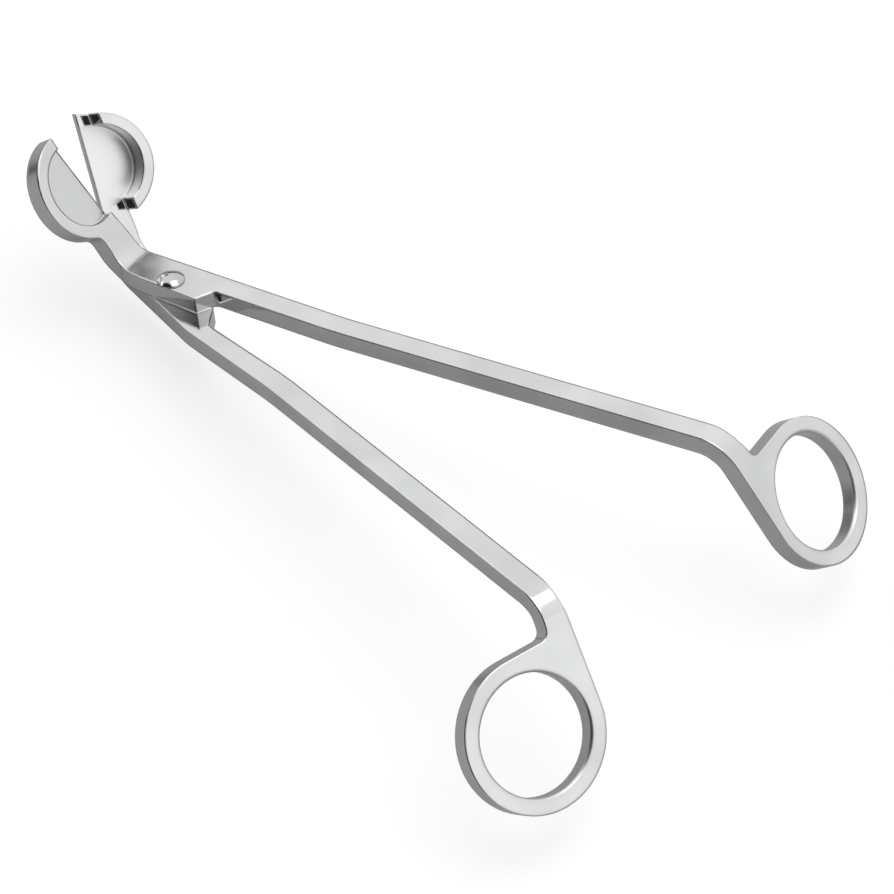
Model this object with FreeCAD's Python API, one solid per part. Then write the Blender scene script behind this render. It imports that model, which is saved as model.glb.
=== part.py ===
import FreeCAD, Part
import math
import os

# Wick trimmer: two cast levers that cross at a rivet, like scissors.
# Lever frame, millimetres: the rivet's axis is Z, X runs along the bar towards the finger ring,
# and Y points outwards, away from the other lever. Z = 0 is where the two levers touch.
# The upper lever is built in this frame. So is the lower lever, which is then mirrored.
# Both ends of a lever are tilted planes. On the ring's plane x starts where the bar's top plane
# meets it.
# On the head's plane x starts where the neck's bend ends, and the head has negative x.

# ---- driving dimensions -------------------------------------------------------------------
plate_thick = 3.75          # bar, pivot plate, neck and finger ring
bar_inner = -1.05           # y of the bar's two sides
bar_outer = 3.65
bar_length = 124.0          # rivet to where the bar's and the ring's top planes would meet
bar_knee = 38.6             # the bar is straight beyond this x
knee_radius = 120.0
ring_angle = 58.4           # degrees that the finger ring turns down
ring_bend_radius = 10.0     # of the top face where the bar turns down to the ring
arm_start = 2.5             # x on the ring's plane where the bar's outline gives way to the arm's
ring_hole_radius = 11.3
ring_radius = 14.5
ring_x = 21.45              # the ring's centre on its plane
ring_y = 14.0
mouth_round = 0.4           # bevel at both mouths of the finger hole
upper_neck_fillet = 2.0     # where the neck meets the head's round back
lower_neck_fillet = 1.0
arm_outer = 4.35            # y of the arm's outer side where it meets the ring
arm_fillet = 1.9
half_opening = 11.46        # degrees: each bar's angle from the middle, at rest

upper_bend_x = -9.3         # where the upper neck starts to rise
upper_bend_radius = 4.8     # of its top face
upper_angle = 58.0          # degrees that the upper head rises
upper_head_x = -15.0        # centre of the head's round back, on the head's plane
upper_head_y = 3.6
upper_head_radius = 11.15
upper_rim_width = 2.6
upper_rim_end = 3.4         # y where the rim stops at the tip
upper_neck = (0.0, 6.75)    # y of the neck's sides where the bend ends
upper_cut_tip = (-26.14, 3.97)
upper_cut_root = (-6.6, 5.8)
floor_depth_rim = 0.4       # depth of the blade's sloping floor at the rim's back
floor_depth_edge = 1.9      # and at the cutting edge
floor_edge_y = 5.6          # y where the floor reaches that depth

lower_bend_x = -12.1
lower_bend_radius = 7.0
lower_angle = 61.0
lower_head_x = -15.7
lower_head_y = -0.8
lower_head_radius = 10.95
lower_neck = (-4.2, 2.6)
lower_cut_tip = (-27.3, -1.2)
lower_cut_root = (-4.0, 1.75)
lower_blade_thick = 1.4
lower_blade_root = -6.5     # x on the head's plane where the blade starts to thicken
lower_neck_root = -1.5      # and where it reaches the neck's thickness
wall_width = 2.35           # the tall C-shaped wall on the lower blade
wall_height = 4.6
wall_end = -4.0             # y where the wall stops, at both of its ends
bar_lift = 0.8              # the lower bar rises this much between its plate and the knee
lift_start = 12.0

shank_radius = 1.75
running_clearance = 0.05    # between the shank and the upper lever that turns on it
seat_gap = 0.05             # between the upper lever and the rivet's head
dome_radius = 2.85
dome_rim = 0.25
dome_height = 1.35
washer_radius = 3.2
washer_thick = 0.6
peened_radius = 2.5
peened_end_radius = 1.4
peened_height = 0.8

rest_pitch = -10.22         # degrees, about Y: the trimmer lies on its neck and its two rings
rest_roll = -1.98           # degrees, about X: the higher ring comes down to the table

far = 60.0                  # more than a lever's width or height
margin = 5.0                # how far a cutting shape runs past what it cuts


def vector(x, y, z=0.0):
    return FreeCAD.Vector(x, y, z)


def outline(corners):
    """A closed flat wire from (x, y, radius) corners; a radius of zero leaves a sharp corner."""
    points = [vector(x, y) for x, y, radius in corners]
    stops = []
    for index, (x, y, radius) in enumerate(corners):
        corner = points[index]
        if radius == 0:
            stops.append((corner, None, corner))
            continue
        to_last = (points[index - 1] - corner).normalize()
        to_next = (points[(index + 1) % len(points)] - corner).normalize()
        half = to_last.getAngle(to_next) / 2
        reach = radius / math.tan(half)
        inward = (to_last + to_next).normalize()
        middle = corner + inward * (radius / math.sin(half) - radius)
        stops.append((corner + to_last * reach, middle, corner + to_next * reach))
    edges = []
    for index, (start, middle, end) in enumerate(stops):
        if middle is not None:
            edges.append(Part.Arc(start, middle, end).toShape())
        edges.append(Part.makeLine(end, stops[(index + 1) % len(stops)][0]))
    return Part.Wire(edges)


def prism(wire, low=-far, high=far):
    """The solid that a flat wire sweeps between two levels."""
    face = Part.Face(wire)
    face.translate(vector(0, 0, low))
    return face.extrude(vector(0, 0, high - low))


def cylinder(radius, low, high, x=0.0, y=0.0):
    return Part.makeCylinder(radius, high - low, vector(x, y, low), vector(0, 0, 1))


def box(x_range, y_range, z_range=(-far, far)):
    lengths = [high - low for low, high in (x_range, y_range, z_range)]
    corner = vector(x_range[0], y_range[0], z_range[0])
    return Part.makeBox(lengths[0], lengths[1], lengths[2], corner)


def tilted(shape, foot, angle):
    """Carries a shape from a tilted plane's own frame to the lever frame."""
    moved = shape.copy()
    turn = FreeCAD.Rotation(vector(0, 1, 0), angle)
    plane = FreeCAD.Placement(vector(foot[0], 0, foot[1]), turn)
    moved.Placement = plane.multiply(moved.Placement)
    return moved


def on_plane(foot, angle, x, depth=0.0):
    """The lever-frame (x, z) of a point on a tilted plane, or below its top face."""
    turn = math.radians(angle)
    point_x = foot[0] + x * math.cos(turn) - depth * math.sin(turn)
    point_z = foot[1] - x * math.sin(turn) - depth * math.cos(turn)
    return point_x, point_z


def bend_end(start, radius, angle, level):
    """The lever-frame (x, z) where the top face's bend ends and the head's plane begins."""
    turn = math.radians(angle)
    return start - radius * math.sin(turn), level + radius * (1 - math.cos(turn))


def bend_corner(start, radius, angle):
    """x where the two straight runs of a bend would meet."""
    return start - radius * math.tan(math.radians(angle) / 2)


def under_ring_bend():
    """x where the bar's and the ring's bottom planes would meet."""
    return bar_length - plate_thick * math.tan(math.radians(ring_angle) / 2)


def sheet(corners):
    """A lever's side view in (x, z, radius) corners, pulled out to both sides."""
    face = Part.Face(outline(corners))
    face.rotate(vector(0, 0), vector(1, 0), 90)
    face.translate(vector(0, far))
    return face.extrude(vector(0, -2 * far))


def neck_fillet(side_y, centre, radius, fillet):
    """The arc between the neck's side at y = side_y and the head's round back: start, middle, end."""
    fillet_y = side_y - fillet
    reach = math.sqrt((radius + fillet) ** 2 - (fillet_y - centre.y) ** 2)
    fillet_centre = vector(centre.x + reach, fillet_y)
    to_round = (centre - fillet_centre).normalize()
    to_side = vector(0, 1)
    start = fillet_centre + to_side * fillet
    middle = fillet_centre + (to_round + to_side).normalize() * fillet
    end = fillet_centre + to_round * fillet
    return start, middle, end


def head_wire(centre, radius, neck, fillet, arc_end, cut_tip, cut_root):
    """A half-round head: one side of the neck, the round back, the cutting edge, the neck."""
    start, middle, end = neck_fillet(neck[0], centre, radius, fillet)
    back = centre + vector(-1, -1).normalize() * radius
    edges = [
        Part.makeLine(vector(0, neck[0]), start),
        Part.Arc(start, middle, end).toShape(),
        Part.Arc(end, back, arc_end).toShape(),
    ]
    if (cut_tip - arc_end).Length > 0.01:
        edges.append(Part.makeLine(arc_end, cut_tip))
    edges.append(Part.makeLine(edges[-1].lastVertex().Point, cut_root))
    edges.append(Part.makeLine(cut_root, vector(0, neck[1])))
    edges.append(Part.makeLine(vector(0, neck[1]), vector(0, neck[0])))
    return Part.Wire(edges)


def ring_prism():
    """The arm and the ring's outside, from a little beyond the bend."""
    arm = prism(outline([
        (arm_start, bar_inner, 0),
        (ring_x, ring_y - ring_radius, 0),
        (ring_x, ring_y, 0),
        (ring_x - ring_radius, ring_y, 0),
        (ring_x - ring_radius, arm_outer, arm_fillet),
        (arm_start, bar_outer, 0),
    ]))
    return arm.fuse(cylinder(ring_radius, -far, far, ring_x, ring_y)).removeSplitter()


def lever_blank(side_view, plan, head, head_foot, head_angle, ring_foot):
    """Joins the three flat outlines of a lever: head, pivot plate with bar, finger ring."""
    head_side = tilted(box((-far, 0), (-far, far)), head_foot, head_angle)
    ring_side = tilted(box((arm_start, far), (-far, far)), ring_foot, ring_angle)
    middle = side_view.common(prism(outline(plan))).cut(head_side).cut(ring_side)
    head_part = side_view.common(tilted(prism(head), head_foot, head_angle)).common(head_side)
    ring_part = side_view.common(tilted(ring_prism(), ring_foot, ring_angle)).common(ring_side)
    return middle.fuse([head_part, ring_part]).removeSplitter()


def upper_lever():
    level = plate_thick
    foot = bend_end(upper_bend_x, upper_bend_radius, upper_angle, level)
    ring_foot = (bar_length, level)
    outer_bend = upper_bend_radius + plate_thick
    side_view = sheet([
        (*on_plane(ring_foot, ring_angle, far), 0),
        (bar_length, level, ring_bend_radius),
        (bend_corner(upper_bend_x, upper_bend_radius, upper_angle), level, upper_bend_radius),
        (*on_plane(foot, upper_angle, -far), 0),
        (*on_plane(foot, upper_angle, -far, plate_thick), 0),
        (bend_corner(upper_bend_x, outer_bend, upper_angle), 0, outer_bend),
        (under_ring_bend(), 0, ring_bend_radius - plate_thick),
        (*on_plane(ring_foot, ring_angle, far, plate_thick), 0),
    ])
    plan = [
        (-far, upper_neck[0], 0),
        (foot[0], upper_neck[0], 10),
        (upper_bend_x, -1.5, 30),
        (7.75, -3.3, 0),
        (9.9, 0.2, 0),
        (10.7, 0.55, 0.8),
        (bar_knee, bar_inner, knee_radius),
        (bar_length + far, bar_inner, 0),
        (bar_length + far, bar_outer, 0),
        (bar_knee, bar_outer, knee_radius),
        (upper_bend_x, 6.4, 15),
        (foot[0], upper_neck[1], 8),
        (-far, upper_neck[1], 0),
    ]
    cut_tip = vector(*upper_cut_tip)
    cut_root = vector(*upper_cut_root)
    centre = vector(upper_head_x, upper_head_y)
    head = head_wire(centre, upper_head_radius, upper_neck, upper_neck_fillet,
                     cut_tip, cut_tip, cut_root)
    lever = lever_blank(side_view, plan, head, foot, upper_angle, ring_foot)
    lever = lever.cut(tilted(upper_blade_pocket(), foot, upper_angle))
    lever = lever.cut(tilted(ring_hole(), ring_foot, ring_angle))
    return lever.cut(cylinder(shank_radius + running_clearance, -far, far)).Solids[0]


def upper_blade_pocket():
    """What is cut from the upper head: down to the sloping floor, and the rim's end at the tip."""
    inner_radius = upper_head_radius - upper_rim_width
    back_y = upper_head_y - inner_radius
    slope = (floor_depth_edge - floor_depth_rim) / (floor_edge_y - back_y)
    low_y = back_y - margin
    high_y = floor_edge_y + margin
    side = outline([
        (low_y, margin, 0),
        (low_y, slope * (back_y - low_y) - floor_depth_rim, 0),
        (high_y, -slope * (high_y - back_y) - floor_depth_rim, 0),
        (high_y, margin, 0),
    ])
    wedge = Part.Face(side)
    wedge.rotate(vector(0, 0), vector(1, 0), 90)
    wedge.rotate(vector(0, 0), vector(0, 0, 1), 90)
    wedge = wedge.extrude(vector(-far, 0))
    inside = cylinder(inner_radius, -far, far, upper_head_x, upper_head_y)
    past_rim = box((-far, upper_head_x), (upper_rim_end, far)).cut(inside)
    return wedge.common(inside).fuse(past_rim)


def ring_hole():
    """The finger hole, with both mouths rounded."""
    hole = cylinder(ring_hole_radius, -2 * plate_thick, plate_thick, ring_x, ring_y)
    for level, out in ((0, 1), (-plate_thick, -1)):
        inside = level - out * mouth_round
        flare = Part.makeCone(
            ring_hole_radius, ring_hole_radius + mouth_round, mouth_round,
            vector(ring_x, ring_y, inside), vector(0, 0, out))
        hole = hole.fuse(flare)
    return hole


def lower_lever():
    """Built with its own Y outwards, then mirrored to the other side of the upper lever."""
    foot = bend_end(lower_bend_x, lower_bend_radius, lower_angle, 0)
    ring_foot = (bar_length, bar_lift)
    outer_bend = lower_bend_radius + plate_thick
    side_view = sheet([
        (*on_plane(ring_foot, ring_angle, far), 0),
        (bar_length, bar_lift, ring_bend_radius),
        (bar_knee, bar_lift, knee_radius),
        (lift_start, 0, knee_radius),
        (bend_corner(lower_bend_x, lower_bend_radius, lower_angle), 0, lower_bend_radius),
        (*on_plane(foot, lower_angle, -far), 0),
        (*on_plane(foot, lower_angle, -far, lower_blade_thick), 0),
        (*on_plane(foot, lower_angle, lower_blade_root, lower_blade_thick), 0),
        (*on_plane(foot, lower_angle, lower_neck_root, plate_thick), 0),
        (bend_corner(lower_bend_x, outer_bend, lower_angle), -plate_thick, outer_bend),
        (lift_start, -plate_thick, knee_radius),
        (bar_knee, bar_lift - plate_thick, knee_radius),
        (under_ring_bend(), bar_lift - plate_thick, ring_bend_radius - plate_thick),
        (*on_plane(ring_foot, ring_angle, far, plate_thick), 0),
    ])
    plan = [
        (-far, lower_neck[0], 0),
        (8.6, -4.0, 1.5),
        (13.3, 0.35, 0.8),
        (bar_knee, bar_inner, knee_radius),
        (bar_length + far, bar_inner, 0),
        (bar_length + far, bar_outer, 0),
        (bar_knee, bar_outer, knee_radius),
        (11.0, 4.55, 30),
        (lower_bend_x, 2.9, 60),
        (foot[0], lower_neck[1], 10),
        (-far, lower_neck[1], 0),
    ]
    centre = vector(lower_head_x, lower_head_y)
    reach = math.sqrt(lower_head_radius ** 2 - (wall_end - lower_head_y) ** 2)
    arc_end = vector(lower_head_x - reach, wall_end)
    head = head_wire(centre, lower_head_radius, lower_neck, lower_neck_fillet, arc_end,
                     vector(*lower_cut_tip), vector(*lower_cut_root))
    lever = lever_blank(side_view, plan, head, foot, lower_angle, ring_foot)
    lever = lever.fuse(tilted(lower_wall(), foot, lower_angle)).removeSplitter()
    lever = lever.cut(tilted(ring_hole(), ring_foot, ring_angle))
    lever = lever.cut(cylinder(shank_radius, -far, far)).Solids[0]
    return lever.mirror(vector(0, 0), vector(0, 1))


def lower_wall():
    """The tall C-shaped wall that stands on the back of the lower blade."""
    sunk = -lower_blade_thick / 2
    wall = cylinder(lower_head_radius, sunk, wall_height, lower_head_x, lower_head_y)
    wall = wall.cut(cylinder(lower_head_radius - wall_width, -far, far, lower_head_x, lower_head_y))
    return wall.common(box((-far, 0), (-far, wall_end)))


def pivot_rivet():
    """Domed head on the upper lever, shank through both plates, peened end under the washer."""
    rim = cylinder(dome_radius, plate_thick + seat_gap, plate_thick + seat_gap + dome_rim)
    crown_rise = dome_height - dome_rim
    sphere_radius = (dome_radius ** 2 + crown_rise ** 2) / (2 * crown_rise)
    crown_level = plate_thick + seat_gap + dome_rim
    sphere = Part.makeSphere(sphere_radius, vector(0, 0, crown_level + crown_rise - sphere_radius))
    crown = sphere.common(cylinder(dome_radius, crown_level, crown_level + dome_height))
    washer_foot = -plate_thick - washer_thick
    shank = cylinder(shank_radius, washer_foot, plate_thick + seat_gap)
    peened = Part.makeCone(peened_end_radius, peened_radius, peened_height,
                           vector(0, 0, washer_foot - peened_height), vector(0, 0, 1))
    return shank.fuse([rim, crown, peened]).removeSplitter().Solids[0]


def rivet_washer():
    ring = cylinder(washer_radius, -plate_thick - washer_thick, -plate_thick)
    return ring.cut(cylinder(shank_radius, -far, far))


def opened(shape, degrees):
    """Turns a lever about the rivet."""
    moved = shape.copy()
    moved.rotate(vector(0, 0), vector(0, 0, 1), degrees)
    return moved


def at_rest(shape):
    """Lays the open trimmer on the table."""
    moved = shape.copy()
    moved.rotate(vector(0, 0), vector(0, 1), rest_pitch)
    moved.rotate(vector(0, 0), vector(1, 0), rest_roll)
    return moved


def main():
    os.makedirs("parts", exist_ok=True)
    nodes = {
        "upper_lever": opened(upper_lever(), half_opening),
        "lower_lever": opened(lower_lever(), -half_opening),
        "pivot_rivet": pivot_rivet(),
        "rivet_washer": rivet_washer(),
    }
    nodes = {name: at_rest(shape) for name, shape in nodes.items()}
    bounds = Part.makeCompound(list(nodes.values())).optimalBoundingBox(False)
    shift = vector(-bounds.Center.x, -bounds.Center.y, -bounds.ZMin)
    for name, shape in nodes.items():
        shape.translate(shift)
        shape.exportStep("parts/" + name + ".step")
        print(name, round(shape.Volume, 1), shape.isValid(), len(shape.Solids))
    axis = at_rest(Part.makeLine(vector(0, 0), vector(0, 0, 1)))
    foot, tip = [vertex.Point for vertex in axis.Vertexes]
    print("rivet point", foot + shift)
    print("rivet axis", tip - foot)
    print("size", bounds.XLength, bounds.YLength, bounds.ZLength)


main()
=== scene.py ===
# %% [markdown]
# # A wick trimmer in polished chrome
# The tool is a pair of crossed levers on one rivet. Each lever is a single casting: a half-round
# cutting head that rises steeply, a flat plate round the rivet, a long straight bar, and a finger
# ring that turns down. It was ground, polished and plated, so it has no colour of its own and
# shows the room instead. That makes three things matter here: the exact shapes, how softly the
# edges are rounded, and what the studio round the tool looks like.

# %% Load the measured frame
import math

import bpy
import numpy as np
from mathutils import Matrix, Vector

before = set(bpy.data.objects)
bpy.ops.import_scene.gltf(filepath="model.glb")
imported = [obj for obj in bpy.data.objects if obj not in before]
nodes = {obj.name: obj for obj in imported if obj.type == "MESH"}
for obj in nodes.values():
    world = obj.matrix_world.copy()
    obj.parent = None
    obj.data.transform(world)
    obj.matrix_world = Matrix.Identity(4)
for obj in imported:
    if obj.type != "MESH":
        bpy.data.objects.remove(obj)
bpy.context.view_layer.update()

for name, node in sorted(nodes.items()):
    print(name, "triangles", len(node.data.polygons))

# %% [markdown]
# ## The camera
# The tool lies level, its heads to the left and its rings to the lower right, and it is seen from
# above the rings, from well back with a long lens. Near and far parts then keep nearly the same
# scale. A camera needs a place, an aim and a small tilt. The place could be typed in as a matrix,
# but a place and an aim point with a roll angle can be read and changed by hand.

# %% Camera from a place, an aim point and a roll
eye = Vector((0.37453, -0.41668, 0.59352))
aim = Vector((0.016191, 0.004994, 0.008))
roll_deg = 2.2
lens_mm = 169.0


def aimed_camera(place, target, roll, lens):
    """A camera at place, its -Z at target and its X level, then turned by roll degrees."""
    data = bpy.data.cameras.new("studio_camera")
    data.lens = lens
    data.clip_start = 0.01
    data.clip_end = 20
    camera = bpy.data.objects.new("studio_camera", data)
    bpy.context.scene.collection.objects.link(camera)
    turn = (target - place).to_track_quat("-Z", "Y").to_matrix().to_4x4()
    tilt = Matrix.Rotation(math.radians(roll), 4, "Z")
    camera.matrix_world = Matrix.Translation(place) @ turn @ tilt
    return camera


camera = aimed_camera(eye, aim, roll_deg, lens_mm)
bpy.context.scene.camera = camera
print("camera distance", round((eye - aim).length, 3), "m")

# %% [markdown]
# ## The table
# A plain pale table. A polished part shows the table in every side wall, so its tone is as much a
# part of the metal's look as the metal itself. To the eye it is a lit white sheet with faint
# shadows, and to the metal it is mid grey, so that side walls stand out from the tops. It is so
# wide that in a reflection its edge lies close to the horizon. It lies 8 mm below the tool, as if
# the tool stood on clear studs: the rivet leans, so a lever that is opened wide dips by 7.3 mm,
# and it must not sink into the table.

# %% Node helpers
def new_material(name):
    """An empty node material with its Principled shader and output already joined."""
    material = bpy.data.materials.new(name)
    material.use_nodes = True
    tree = material.node_tree
    tree.nodes.clear()
    shader = tree.nodes.new("ShaderNodeBsdfPrincipled")
    output = tree.nodes.new("ShaderNodeOutputMaterial")
    tree.links.new(shader.outputs["BSDF"], output.inputs["Surface"])
    return material, tree, shader


def noise(tree, vector, scale, detail, roughness=0.5):
    """A noise texture's value, from 0 to 1, on the given coordinates."""
    node = tree.nodes.new("ShaderNodeTexNoise")
    node.inputs["Scale"].default_value = scale
    node.inputs["Detail"].default_value = detail
    node.inputs["Roughness"].default_value = roughness
    tree.links.new(vector, node.inputs["Vector"])
    return node.outputs["Fac"]


def stretched(tree, vector, scale):
    """Coordinates scaled differently along X, Y and Z, for marks that run one way."""
    node = tree.nodes.new("ShaderNodeMapping")
    node.inputs["Scale"].default_value = scale
    tree.links.new(vector, node.inputs["Vector"])
    return node.outputs["Vector"]


def ranged(tree, value, low, high, to_low, to_high):
    """Maps low..high to to_low..to_high and holds it there."""
    node = tree.nodes.new("ShaderNodeMapRange")
    node.inputs["From Min"].default_value = low
    node.inputs["From Max"].default_value = high
    node.inputs["To Min"].default_value = to_low
    node.inputs["To Max"].default_value = to_high
    tree.links.new(value, node.inputs["Value"])
    return node.outputs["Result"]


def feed(tree, value, socket):
    """Puts value into socket: a link from another node's output, or else a plain value."""
    if isinstance(value, bpy.types.NodeSocket):
        tree.links.new(value, socket)
    else:
        socket.default_value = value


def combined(tree, first, second, operation="ADD"):
    """One Math node: first operation second, each a number or another node's output."""
    node = tree.nodes.new("ShaderNodeMath")
    node.operation = operation
    feed(tree, first, node.inputs[0])
    feed(tree, second, node.inputs[1])
    return node.outputs[0]


def mixed(tree, factor, first, second, kind="RGBA"):
    """A Mix node: first at factor 0, second at factor 1, each a value or a node's output."""
    node = tree.nodes.new("ShaderNodeMix")
    node.data_type = kind
    feed(tree, first, node.inputs["A"])
    feed(tree, second, node.inputs["B"])
    tree.links.new(factor, node.inputs["Factor"])
    return node.outputs["Result"]


# %% Table
def table_plane(half_width, height):
    """A flat square of four corners at one height, facing up."""
    corners = half_width * np.array([[-1, -1, 0], [1, -1, 0], [1, 1, 0], [-1, 1, 0]], float)
    corners[:, 2] = height
    mesh = bpy.data.meshes.new("table")
    mesh.from_pydata(corners.tolist(), [], [(0, 1, 2, 3)])
    table = bpy.data.objects.new("table", mesh)
    bpy.context.scene.collection.objects.link(table)
    return table


table_half_width = 4.0
table_height = -0.008
table = table_plane(table_half_width, table_height)

# %% Table finish
mirrored_greys = (0.46, 0.50)   # what the metal sees, with a faint mottle between the two
seen_grey = 0.46                # what the eye sees, together with the glow
seen_glow = 0.62
table_roughness = 0.9


def grey(value):
    """A neutral colour: value three times, with full alpha."""
    return value, value, value, 1


def table_material():
    """Base colour and glow depend on whether the ray comes straight from the camera."""
    material, tree, shader = new_material("pale_table")
    place = tree.nodes.new("ShaderNodeTexCoord").outputs["Object"]
    mottle = noise(tree, place, scale=9.0, detail=4.0)
    mirrored = mixed(tree, mottle, grey(mirrored_greys[0]), grey(mirrored_greys[1]))
    to_camera = tree.nodes.new("ShaderNodeLightPath").outputs["Is Camera Ray"]
    seen = mixed(tree, to_camera, mirrored, grey(seen_grey))
    tree.links.new(seen, shader.inputs["Base Color"])
    glow = combined(tree, to_camera, seen_glow, "MULTIPLY")
    tree.links.new(glow, shader.inputs["Emission Strength"])
    shader.inputs["Emission Color"].default_value = grey(1)
    shader.inputs["Roughness"].default_value = table_roughness
    return material


table.data.materials.append(table_material())
print("table", table.dimensions.x, "m wide")

# %% [markdown]
# ## The studio
# Chrome under a single lamp looks black with one hot spot. Product studios put it in a white tent
# with large soft lights, so that each flat face mirrors one even patch. The tent is the world
# here: white, a little brighter overhead, and open to a dark room on the side where the camera
# stands. The open side draws the dark lines along the rounded edges. The soft boxes are area
# lights, placed by the direction in which the faces mirror them: the bars look up and back to the
# left, the heads and rings look low and to the right.

# %% World and soft boxes
# each dark side: its middle, and the dot products where the white ends and where all is dark
dark_sides = (
    (Vector((0.25, -0.92, 0.30)).normalized(), 0.56, 0.72),
    (Vector((-0.11, -0.78, 0.62)).normalized(), 0.72, 0.80),
)
tent_hem = Vector((0.22, 0.10, 1.0)).normalized()
hem_dark, hem_white = 0.06, 0.13          # dot products with tent_hem
wall_height, overhead_height = 0.2, 0.9   # Z of a direction, where each tone begins to hold


def tent_world(overhead, wall, room):
    """Brightness by direction: from wall to overhead with height, and only room in the openings.

    Brightness = white x lit + room. White goes from wall to overhead as Z rises. Lit is 1 in the
    tent and 0 in its openings: the product, over the hem and the dark sides, of dot products
    with unit vectors, each mapped over a short range. The hem leans, so it hangs higher in front
    and on the left.
    """
    world = bpy.data.worlds.new("white_tent")
    world.use_nodes = True
    tree = world.node_tree
    tree.nodes.clear()
    direction = tree.nodes.new("ShaderNodeTexCoord").outputs["Generated"]
    split = tree.nodes.new("ShaderNodeSeparateXYZ")
    tree.links.new(direction, split.inputs["Vector"])
    white = ranged(tree, split.outputs["Z"], wall_height, overhead_height, wall, overhead)

    def along(axis):
        """The dot product of the direction with axis."""
        dot = tree.nodes.new("ShaderNodeVectorMath")
        dot.operation = "DOT_PRODUCT"
        dot.inputs[1].default_value = axis
        tree.links.new(direction, dot.inputs[0])
        return dot.outputs["Value"]

    lit = ranged(tree, along(tent_hem), hem_dark, hem_white, 0.0, 1.0)
    for axis, white_ends, dark in dark_sides:
        outside = ranged(tree, along(axis), white_ends, dark, 1.0, 0.0)
        lit = combined(tree, lit, outside, "MULTIPLY")
    brightness = combined(tree, combined(tree, white, lit, "MULTIPLY"), room)
    background = tree.nodes.new("ShaderNodeBackground")
    output = tree.nodes.new("ShaderNodeOutputWorld")
    tree.links.new(brightness, background.inputs["Strength"])
    tree.links.new(background.outputs["Background"], output.inputs["Surface"])
    background.inputs["Color"].default_value = grey(1)
    return world


def soft_box(name, azimuth, elevation, distance, width, height, brightness):
    """A rectangular light at azimuth (from +X towards +Y) and elevation, aimed at the tool.

    Its power is brightness x pi x its area, so brightness is what a mirror shows: 1 is white.
    """
    turn, rise = math.radians(azimuth), math.radians(elevation)
    level = math.cos(rise)
    toward = Vector((math.cos(turn) * level, math.sin(turn) * level, math.sin(rise)))
    data = bpy.data.lights.new(name, "AREA")
    data.shape = "RECTANGLE"
    data.size = width
    data.size_y = height
    data.energy = brightness * math.pi * width * height
    lamp = bpy.data.objects.new(name, data)
    lamp.location = toward * distance
    lamp.rotation_euler = (-toward).to_track_quat("-Z", "Y").to_euler()
    bpy.context.scene.collection.objects.link(lamp)
    return lamp


bpy.context.scene.world = tent_world(overhead=1.12, wall=0.99, room=0.03)
boxes = [
    soft_box("right_box", azimuth=14, elevation=32, distance=1.5,
             width=0.55, height=0.55, brightness=0.12),
    soft_box("front_strip", azimuth=-150, elevation=36, distance=1.5,
             width=0.9, height=0.16, brightness=1.6),
    soft_box("top_box", azimuth=60, elevation=80, distance=1.6,
             width=1.0, height=1.0, brightness=1.1),
]
bpy.context.scene.view_settings.view_transform = "Standard"
print("soft boxes", [box.name for box in boxes])

# %% [markdown]
# ## Marks of polishing and handling
# Even a bright plated casting isn't a perfect mirror. The buffing wheel leaves very fine lines
# along the lever, the ground faces wander by a few thousandths of a millimetre over a centimetre,
# and fingers leave faint dull patches. One node group makes all three, so that every part shares
# them with its own amounts. The lines come from noise that is drawn out along the tool, because a
# wave texture would repeat.

# %% Group helpers
def new_group(name, inputs, outputs):
    """A node group with named sockets, each given as a name and a kind, Float or Vector."""
    group = bpy.data.node_groups.new(name, "ShaderNodeTree")
    for side, sockets in (("INPUT", inputs), ("OUTPUT", outputs)):
        for socket, kind in sockets.items():
            group.interface.new_socket(socket, in_out=side, socket_type="NodeSocket" + kind)
    print("group", name, "gives", list(outputs))
    return group, group.nodes.new("NodeGroupInput"), group.nodes.new("NodeGroupOutput")


def placed(tree, group, values):
    """A node that holds group in tree, with its named inputs set to values."""
    node = tree.nodes.new("ShaderNodeGroup")
    node.node_tree = group
    for name, value in values.items():
        node.inputs[name].default_value = value
    return node


# %% Group: polish marks
def polish_marks_group():
    """Three amounts in. Out: Height for a bump, Dullness for roughness, and Tint, a 0 to 1 mask.

    Height = lines + wander. Dullness = smudges, kept to where their noise is high, + a little of
    the lines. Tint = the wander noise with more contrast. All are on Object coordinates.
    """
    line_scale = (90, 2600, 2600)       # per metre: long along the tool, fine across it
    wander_scale, smudge_scale = 95.0, 70.0
    dullness_of_lines = 0.12
    group, given, result = new_group(
        "polish_marks",
        {"Line Amount": "Float", "Wander Amount": "Float", "Smudge Amount": "Float"},
        {"Height": "Float", "Dullness": "Float", "Tint": "Float"})
    place = group.nodes.new("ShaderNodeTexCoord").outputs["Object"]
    drawn_out = stretched(group, place, line_scale)
    lines = noise(group, drawn_out, scale=1.0, detail=3.0, roughness=0.6)
    wander = noise(group, place, scale=wander_scale, detail=1.0)
    blots = noise(group, place, scale=smudge_scale, detail=5.0, roughness=0.62)
    smudge = ranged(group, blots, low=0.48, high=0.72, to_low=0.0, to_high=1.0)
    line_part = combined(group, lines, given.outputs["Line Amount"], "MULTIPLY")
    wander_part = combined(group, wander, given.outputs["Wander Amount"], "MULTIPLY")
    height = combined(group, line_part, wander_part)
    group.links.new(height, result.inputs["Height"])
    dull_lines = combined(group, line_part, dullness_of_lines, "MULTIPLY")
    dull_smudge = combined(group, smudge, given.outputs["Smudge Amount"], "MULTIPLY")
    group.links.new(combined(group, dull_smudge, dull_lines), result.inputs["Dullness"])
    tint = ranged(group, wander, low=0.3, high=0.7, to_low=0.0, to_high=1.0)
    group.links.new(tint, result.inputs["Tint"])
    return group


polish_marks = polish_marks_group()
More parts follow.
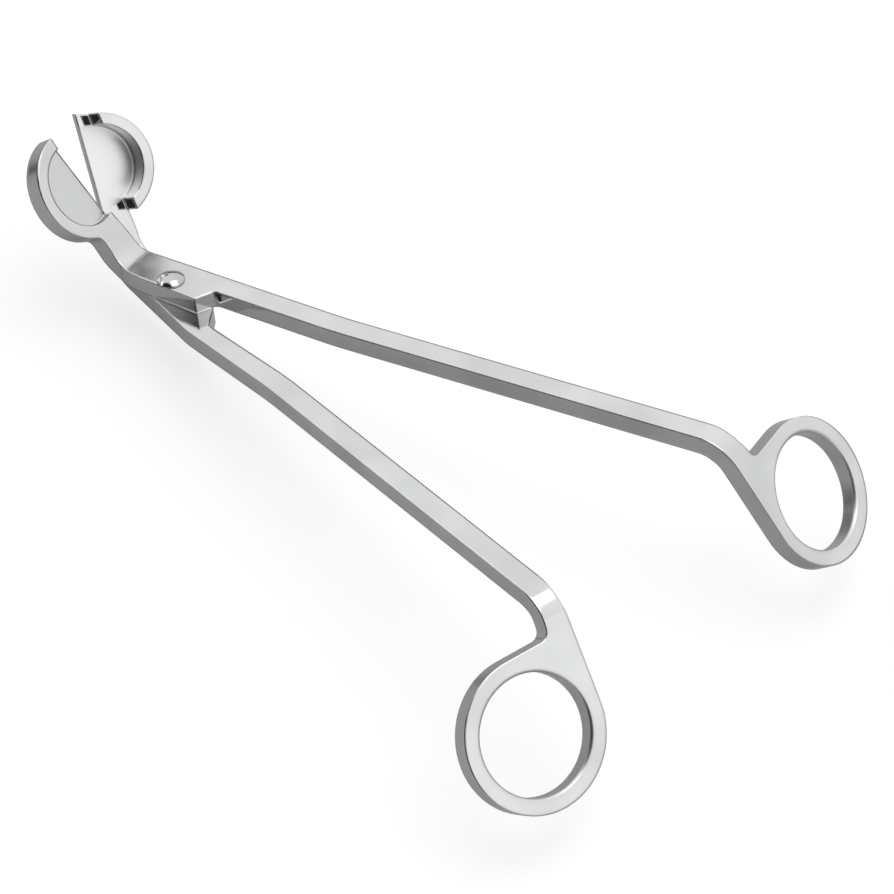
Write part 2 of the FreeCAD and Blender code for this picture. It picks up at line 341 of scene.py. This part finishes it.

# %% [markdown]
# ## Ground blade floors
# The inner floor of each head is the blade. It was ground flat after plating, so it is duller
# than the polished metal round it and hardly mirrors the wall beside it. The floor is found by
# place: within a radius of the head's centre and between two heights over the head's plane. On the
# lower lever the floor's colour is also made lighter than the ground finish: a painted sheen.

# %% Group: blade floor
def blade_floor_group():
    """Mask = 1 where Low < height over the head's plane < High and distance from its axis < Radius.

    With d = place - Centre and n = Facing, height = d . n, distance = length of d - n x height.
    """
    group, given, result = new_group(
        "blade_floor",
        {"Centre": "Vector", "Facing": "Vector",
         "Radius": "Float", "Low": "Float", "High": "Float"},
        {"Mask": "Float"})

    def vector_node(operation, first, second, out="Vector"):
        """One Vector Math node: first operation second, or first alone where second is None."""
        node = group.nodes.new("ShaderNodeVectorMath")
        node.operation = operation
        group.links.new(first, node.inputs[0])
        if second is not None:
            group.links.new(second, node.inputs["Scale" if operation == "SCALE" else 1])
        return node.outputs[out]

    place = group.nodes.new("ShaderNodeTexCoord").outputs["Object"]
    away = vector_node("SUBTRACT", place, given.outputs["Centre"])
    height = vector_node("DOT_PRODUCT", away, given.outputs["Facing"], "Value")
    along = vector_node("SCALE", given.outputs["Facing"], height)
    distance = vector_node("LENGTH", vector_node("SUBTRACT", away, along), None, "Value")
    inside = combined(group, distance, given.outputs["Radius"], "LESS_THAN")
    over = combined(group, height, given.outputs["Low"], "GREATER_THAN")
    under = combined(group, height, given.outputs["High"], "LESS_THAN")
    mask = combined(group, combined(group, inside, over, "MULTIPLY"), under, "MULTIPLY")
    group.links.new(mask, result.inputs["Mask"])
    return group


blade_floor = blade_floor_group()

# %% [markdown]
# ## Worn patches
# The plate round the rivet is where the tool is wiped and where soot is rubbed off, so its polish
# has gone softer there. The finger holes are duller too, because the buffing wheel reaches them
# badly and fingers rub them. A patch fades out with distance from a centre, so it has no visible
# border.

# %% Group: worn patch
def worn_patch_group():
    """Dullness = Amount x (1 inside Near, falling to 0 at Far), by distance from Centre."""
    group, given, result = new_group(
        "worn_patch",
        {"Centre": "Vector", "Near": "Float", "Far": "Float", "Amount": "Float"},
        {"Dullness": "Float"})
    apart = group.nodes.new("ShaderNodeVectorMath")
    apart.operation = "DISTANCE"
    place = group.nodes.new("ShaderNodeTexCoord").outputs["Object"]
    group.links.new(place, apart.inputs[0])
    group.links.new(given.outputs["Centre"], apart.inputs[1])
    fade = group.nodes.new("ShaderNodeMapRange")
    fade.inputs["To Min"].default_value = 1.0
    fade.inputs["To Max"].default_value = 0.0
    for socket, source in (("Value", apart.outputs["Value"]), ("From Min", given.outputs["Near"]),
                           ("From Max", given.outputs["Far"])):
        group.links.new(source, fade.inputs[socket])
    worn = combined(group, fade.outputs["Result"], given.outputs["Amount"], "MULTIPLY")
    group.links.new(worn, result.inputs["Dullness"])
    return group


worn_patch = worn_patch_group()

# %% [markdown]
# ## Chrome
# The plating over a polished casting is a neutral grey mirror. Every edge was broken on the
# wheel, so it has a small round that catches a thin bright line and a thin dark one. The round
# could be cut into the mesh, but the measured mesh isn't changed, and on a part this crisp a
# Bevel node that bends only the shading normal gives much the same lines. The flat faces are a
# little less sharp than the rivet, which was turned.

# %% Chrome
bump_height = 0.00001       # metres, for a Height of 1
bevel_samples = 8


def chrome(name, light, dark, roughness, edge_round, lines, wander, smudge):
    """Plated metal: tint between light and dark, roughness + dullness, rounded edges, bumps."""
    material, tree, shader = new_material(name)
    marks = placed(tree, polish_marks, {
        "Line Amount": lines, "Wander Amount": wander, "Smudge Amount": smudge})
    tone = mixed(tree, marks.outputs["Tint"], (*dark, 1), (*light, 1))
    tree.links.new(tone, shader.inputs["Base Color"])
    polish = combined(tree, marks.outputs["Dullness"], roughness)
    tree.links.new(polish, shader.inputs["Roughness"])
    shader.inputs["Metallic"].default_value = 1.0
    bevel = tree.nodes.new("ShaderNodeBevel")
    bevel.samples = bevel_samples
    bevel.inputs["Radius"].default_value = edge_round
    bump = tree.nodes.new("ShaderNodeBump")
    bump.inputs["Distance"].default_value = bump_height
    tree.links.new(marks.outputs["Height"], bump.inputs["Height"])
    tree.links.new(bevel.outputs["Normal"], bump.inputs["Normal"])
    tree.links.new(bump.outputs["Normal"], shader.inputs["Normal"])
    return material


def with_ground_blade(material, centre, facing, radius, low, high, roughness, tone):
    """Inside the blade floor's mask, roughness and base colour move to the given values: the ground
    finish, and on the lower lever also a painted sheen in the colour.
    """
    tree = material.node_tree
    shader = tree.nodes["Principled BSDF"]
    floor = placed(tree, blade_floor, {
        "Centre": centre, "Facing": facing, "Radius": radius, "Low": low, "High": high})
    for name, kind, ground in (
            ("Roughness", "FLOAT", roughness),
            ("Base Color", "RGBA", (*tone, 1))):
        polished = shader.inputs[name].links[0].from_socket
        both = mixed(tree, floor.outputs["Mask"], polished, ground, kind)
        tree.links.new(both, shader.inputs[name])
    return material


def with_worn_patch(material, centre, near, far, amount):
    """Adds the worn patch's dullness to the roughness that the material already has."""
    tree = material.node_tree
    shader = tree.nodes["Principled BSDF"]
    patch = placed(tree, worn_patch, {
        "Centre": centre, "Near": near, "Far": far, "Amount": amount})
    polished = shader.inputs["Roughness"].links[0].from_socket
    worn = combined(tree, polished, patch.outputs["Dullness"])
    tree.links.new(worn, shader.inputs["Roughness"])
    return material


# %% Finishes of the four pieces, with places in metres at rest
lever_polish = {
    "light": (0.67, 0.675, 0.68), "dark": (0.59, 0.595, 0.60), "roughness": 0.07,
    "edge_round": 0.0007, "lines": 0.05, "wander": 0.8, "smudge": 0.06,
}
upper_chrome = with_ground_blade(
    chrome("upper_lever_chrome", **lever_polish),
    centre=(-0.07694, -0.0004, 0.02068), facing=(0.7239, 0.1915, 0.6628), radius=0.0086,
    low=-0.0026, high=-0.0003, roughness=0.2, tone=(0.62, 0.625, 0.63))
# The lower blade floor's roughness is its ground finish. Its light base colour, 0.82 against 0.62
# on the upper blade, is a painted sheen.
lower_chrome = with_ground_blade(
    chrome("lower_lever_chrome", **lever_polish),
    centre=(-0.08018, 0.00615, 0.01845), facing=(0.7576, -0.1519, 0.6348), radius=0.0086,
    low=-0.0003, high=0.0003, roughness=0.38, tone=(0.82, 0.825, 0.83))

plate_centre = (-0.0575, 0.0, 0.0085)
upper_ring_centre = (0.0766, 0.0403, 0.0122)
lower_ring_centre = (0.0771, -0.0403, 0.0120)
for lever_chrome, ring_centre in (
        (upper_chrome, upper_ring_centre),
        (lower_chrome, lower_ring_centre)):
    with_worn_patch(lever_chrome, plate_centre, near=0.007, far=0.014, amount=0.16)
    with_worn_patch(lever_chrome, ring_centre, near=0.0119, far=0.0126, amount=0.22)

rivet_chrome = chrome(
    "rivet_chrome", light=(0.56, 0.56, 0.57), dark=(0.46, 0.46, 0.47), roughness=0.05,
    edge_round=0.0004, lines=0.05, wander=0.5, smudge=0.05)
for name, finish in (("upper_lever", upper_chrome), ("lower_lever", lower_chrome),
                     ("pivot_rivet", rivet_chrome), ("rivet_washer", rivet_chrome)):
    nodes[name].material_slots[0].material = finish
    print(name, "finish", finish.name)
